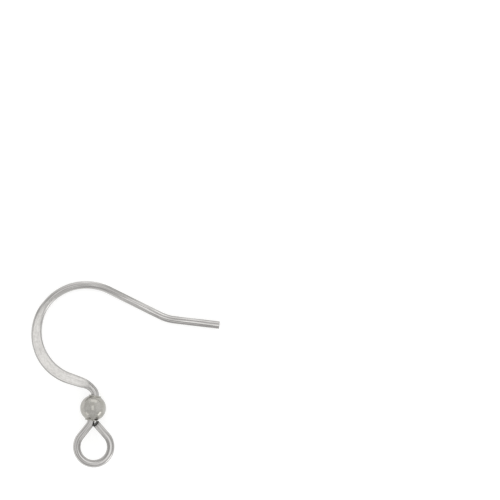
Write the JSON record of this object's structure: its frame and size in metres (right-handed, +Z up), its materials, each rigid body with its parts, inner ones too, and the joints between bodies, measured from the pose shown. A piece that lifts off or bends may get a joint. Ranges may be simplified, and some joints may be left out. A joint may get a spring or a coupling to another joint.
{
  "type": "ear wire",
  "caption": "Flat-fronted fish-hook ear wire with an open charm loop and a small plain ball on its stem.",
  "frame": {"origin": "middle of the part's box, on the surface it lies on", "axes": "+Z up from the surface; +Y from the charm loop towards the top of the hook; +X from the hook's front towards the tip of the tail"},
  "size_m": [0.0182, 0.0178, 0.0025],
  "materials": {
    "wire": "silver-plated drawn wire, lightly tarnished, with a brighter satin flat where it was pressed",
    "ball": "silver-plated hollow ball, tumbled, lightly tarnished, a little warmer than the wire"
  },
  "bodies": {
    "root": {"ear_hook": "wire", "ball_bead": "ball"}
  },
  "joints": []
}
